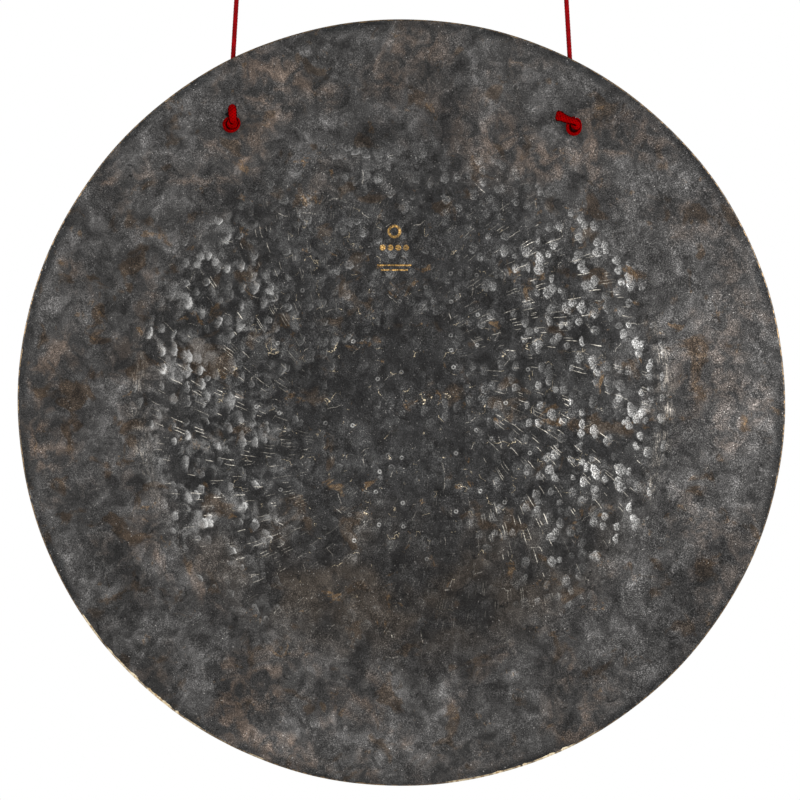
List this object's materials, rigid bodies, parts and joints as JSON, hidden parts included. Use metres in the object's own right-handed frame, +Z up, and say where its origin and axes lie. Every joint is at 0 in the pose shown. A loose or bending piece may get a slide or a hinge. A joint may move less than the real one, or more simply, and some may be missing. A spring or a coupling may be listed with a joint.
{
  "type": "gong",
  "caption": "Round rimless bronze gong with a gently domed, hammered face, hung by a red braided cord that passes through its holes and is knotted in front.",
  "frame": {"origin": "midway between the two hooks, on the line where the cord's two strands leave them", "axes": "+Z up; the struck face looks along -Y; +X along the hook line, to the right of a player who faces the gong"},
  "size_m": [0.8129, 0.0467, 0.869],
  "materials": {
    "bronze": "hammered bronze under a dark grey-brown patina, bright at the cut edge",
    "cord": "soft round braid, deep red"
  },
  "bodies": {
    "hooked_cord": {"cord_top": "cord"},
    "strands": {"cord_strand_left": "cord", "cord_strand_right": "cord"},
    "gong": {"gong_disc": "bronze", "cord_end_left": "cord", "cord_end_right": "cord", "knot_left": "cord", "knot_right": "cord"}
  },
  "joints": [
    {"name": "swing", "type": "hinge", "parent": "hooked_cord", "child": "strands", "pos_m": [0, 0, 0], "axis": [1, 0, 0], "range_deg": [-25, 25]},
    {"name": "tilt", "type": "hinge", "parent": "strands", "child": "gong", "pos_m": [0, 0, -0.137], "axis": [1, 0, 0], "range_deg": [-5, 15]}
  ]
}
